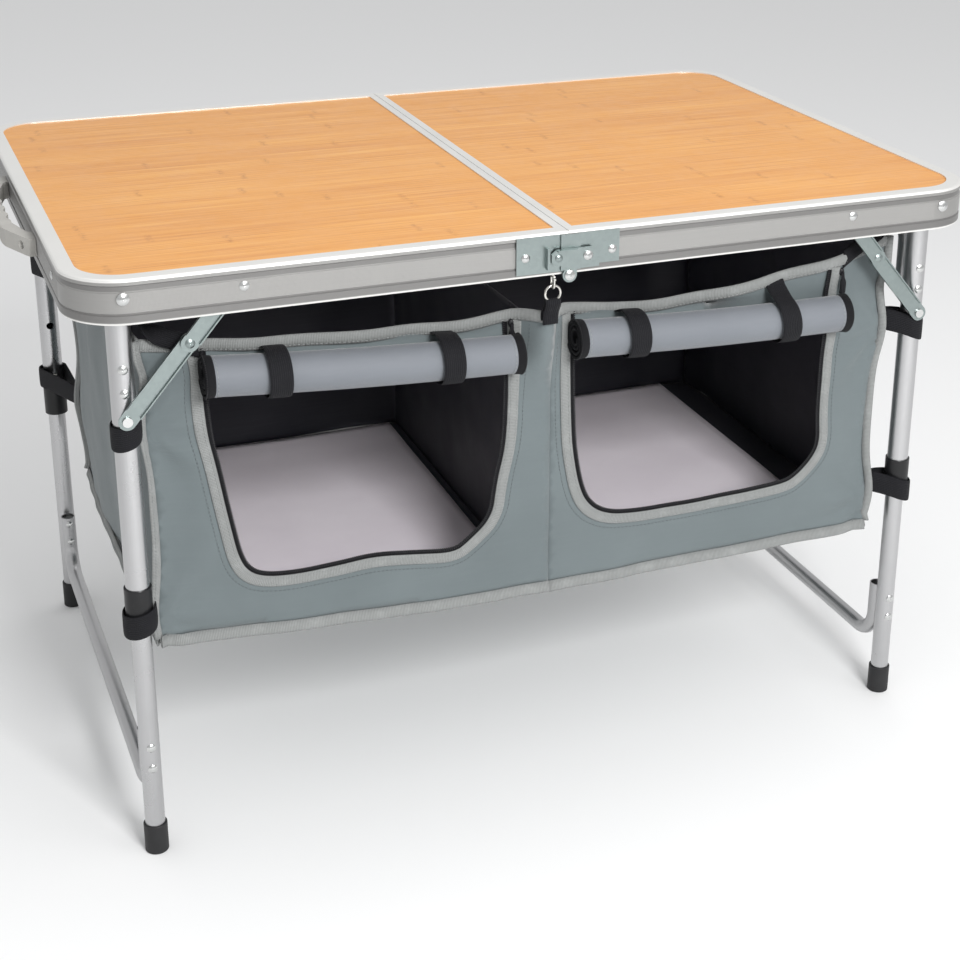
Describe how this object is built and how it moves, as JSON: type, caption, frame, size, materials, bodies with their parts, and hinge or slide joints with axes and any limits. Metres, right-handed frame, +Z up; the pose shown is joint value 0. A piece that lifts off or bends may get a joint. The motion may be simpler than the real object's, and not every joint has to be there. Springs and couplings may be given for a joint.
{
  "type": "camp kitchen table",
  "caption": "Folding aluminium camp kitchen table with telescoping leg frames, braces, seam hinge and latches, and a two-compartment fabric organiser hung below the top.",
  "frame": {"origin": "middle of the footprint on the ground, under the middle of the overall length and depth", "axes": "+X along the table's length, away from the carry handle; -Y the organiser's door side; +Z up"},
  "size_m": [0.9276, 0.619, 0.59],
  "materials": {
    "bamboo_board": "bamboo print under clear film",
    "rim_aluminium": "brushed, with a fine knurled band",
    "leg_aluminium": "drawn, satin",
    "zinc_steel": "zinc plated",
    "rivet_steel": "bright",
    "bright_steel": "nickel plated",
    "grey_plastic": "moulded",
    "black_plastic": "moulded",
    "black_rubber": "moulded",
    "stiff_board": "thin stiffener board",
    "grey_fabric": "woven polyester",
    "dark_fabric": "woven polyester lining",
    "black_webbing": "woven tape"
  },
  "bodies": {
    "left_top": {"left_rim": "rim_aluminium", "left_board": "bamboo_board", "left_seam_rail": "rim_aluminium", "left_pivot_pins": "rivet_steel", "left_hinge_plates": "zinc_steel", "hinge_pins": "rivet_steel", "left_rim_fasteners": "rivet_steel", "carry_handle": "grey_plastic", "snap_hook": "bright_steel", "hanger_ring": "bright_steel", "organiser_front_panel": "grey_fabric", "organiser_back_panel": "dark_fabric", "organiser_left_side": "grey_fabric", "organiser_right_side": "grey_fabric", "organiser_floor": "grey_fabric", "organiser_divider": "dark_fabric", "left_base_board": "stiff_board", "right_base_board": "stiff_board", "left_rolled_door": "grey_fabric", "right_rolled_door": "grey_fabric", "leg_straps": "black_webbing", "hanger_tab": "black_webbing"},
    "right_top": {"right_rim": "rim_aluminium", "right_board": "bamboo_board", "right_seam_rail": "rim_aluminium", "right_pivot_pins": "rivet_steel", "right_hinge_plates": "zinc_steel", "right_rim_fasteners": "rivet_steel", "latch_rivets": "rivet_steel"},
    "front_latch": {"front_latch_lever": "zinc_steel"},
    "rear_latch": {"rear_latch_lever": "zinc_steel"},
    "hook_gate": {"snap_hook_gate": "bright_steel"},
    "left_leg_frame": {"front_left_upper_tube": "leg_aluminium", "rear_left_upper_tube": "leg_aluminium", "left_upper_cross_bar": "leg_aluminium", "left_collars": "black_plastic", "left_upper_rivets": "rivet_steel"},
    "left_lower_legs": {"front_left_lower_tube": "leg_aluminium", "rear_left_lower_tube": "leg_aluminium", "left_lower_cross_bar": "leg_aluminium", "left_feet": "black_rubber", "left_lower_rivets": "rivet_steel"},
    "left_brace_uppers": {"left_upper_brace_links": "zinc_steel"},
    "left_brace_lowers": {"left_lower_brace_links": "zinc_steel"},
    "front_left_button": {"front_left_snap_button": "bright_steel"},
    "rear_left_button": {"rear_left_snap_button": "bright_steel"},
    "right_leg_frame": {"front_right_upper_tube": "leg_aluminium", "rear_right_upper_tube": "leg_aluminium", "right_upper_cross_bar": "leg_aluminium", "right_collars": "black_plastic", "right_upper_rivets": "rivet_steel"},
    "right_lower_legs": {"front_right_lower_tube": "leg_aluminium", "rear_right_lower_tube": "leg_aluminium", "right_lower_cross_bar": "leg_aluminium", "right_feet": "black_rubber", "right_lower_rivets": "rivet_steel"},
    "right_brace_uppers": {"right_upper_brace_links": "zinc_steel"},
    "right_brace_lowers": {"right_lower_brace_links": "zinc_steel"},
    "front_right_button": {"front_right_snap_button": "bright_steel"},
    "rear_right_button": {"rear_right_snap_button": "bright_steel"}
  },
  "joints": [
    {"name": "table_fold", "type": "hinge", "parent": "left_top", "child": "right_top", "pos_m": [0.0122, 0, 0.549], "axis": [0, -1, 0], "range_deg": [-65, 0], "deforming": ["organiser_front_panel", "organiser_back_panel", "organiser_left_side", "organiser_right_side", "organiser_floor", "organiser_divider", "left_base_board", "right_base_board", "left_rolled_door", "right_rolled_door", "leg_straps", "hanger_tab"]},
    {"name": "left_leg_fold", "type": "hinge", "parent": "left_top", "child": "left_leg_frame", "pos_m": [-0.3918, 0, 0.573], "axis": [0, -1, 0], "range_deg": [0, 88]},
    {"name": "left_leg_height", "type": "slide", "parent": "left_leg_frame", "child": "left_lower_legs", "axis": [0, 0, 1], "range_m": [0, 0.12]},
    {"name": "left_brace_upper_fold", "type": "hinge", "parent": "left_top", "child": "left_brace_uppers", "pos_m": [-0.2888, 0, 0.573], "axis": [0, -1, 0], "range_deg": [-51.35, 0]},
    {"name": "left_brace_lower_fold", "type": "hinge", "parent": "left_leg_frame", "child": "left_brace_lowers", "pos_m": [-0.3918, 0, 0.452], "axis": [0, -1, 0], "range_deg": [0, 39.17]},
    {"name": "front_left_button_press", "type": "slide", "parent": "left_leg_frame", "child": "front_left_button", "axis": [0, 1, 0], "range_m": [-0.003, 0], "stiffness_N_per_m": 500, "springref_m": 0.001},
    {"name": "rear_left_button_press", "type": "slide", "parent": "left_leg_frame", "child": "rear_left_button", "axis": [0, -1, 0], "range_m": [-0.003, 0], "stiffness_N_per_m": 500, "springref_m": 0.001},
    {"name": "right_leg_fold", "type": "hinge", "parent": "right_top", "child": "right_leg_frame", "pos_m": [0.4162, 0, 0.573], "axis": [0, 1, 0], "range_deg": [0, 84]},
    {"name": "right_leg_height", "type": "slide", "parent": "right_leg_frame", "child": "right_lower_legs", "axis": [0, 0, 1], "range_m": [0, 0.12]},
    {"name": "right_brace_upper_fold", "type": "hinge", "parent": "right_top", "child": "right_brace_uppers", "pos_m": [0.3132, 0, 0.573], "axis": [0, 1, 0], "range_deg": [-49.27, 0]},
    {"name": "right_brace_lower_fold", "type": "hinge", "parent": "right_leg_frame", "child": "right_brace_lowers", "pos_m": [0.4162, 0, 0.452], "axis": [0, 1, 0], "range_deg": [0, 39.35]},
    {"name": "front_right_button_press", "type": "slide", "parent": "right_leg_frame", "child": "front_right_button", "axis": [0, 1, 0], "range_m": [-0.003, 0], "stiffness_N_per_m": 500, "springref_m": 0.001},
    {"name": "rear_right_button_press", "type": "slide", "parent": "right_leg_frame", "child": "rear_right_button", "axis": [0, -1, 0], "range_m": [-0.003, 0], "stiffness_N_per_m": 500, "springref_m": 0.001},
    {"name": "front_latch_turn", "type": "hinge", "parent": "right_top", "child": "front_latch", "pos_m": [0.0292, -0.305, 0.567], "axis": [0, 1, 0], "range_deg": [0, 40]},
    {"name": "rear_latch_turn", "type": "hinge", "parent": "right_top", "child": "rear_latch", "pos_m": [0.0292, 0.305, 0.567], "axis": [0, 1, 0], "range_deg": [0, 40]},
    {"name": "hook_gate_turn", "type": "hinge", "parent": "left_top", "child": "hook_gate", "pos_m": [-0.0008, -0.2982, 0.544], "axis": [1, 0, 0], "range_deg": [0, 14], "stiffness_Nm_per_rad": 0.02, "springref_deg": -11.46}
  ],
  "couplings": [
    {"joint": "left_brace_upper_fold", "follows": "left_leg_fold", "ratio": -0.57787},
    {"joint": "left_brace_lower_fold", "follows": "left_leg_fold", "ratio": 0.43942},
    {"joint": "right_brace_upper_fold", "follows": "right_leg_fold", "ratio": -0.58056},
    {"joint": "right_brace_lower_fold", "follows": "right_leg_fold", "ratio": 0.46254}
  ]
}
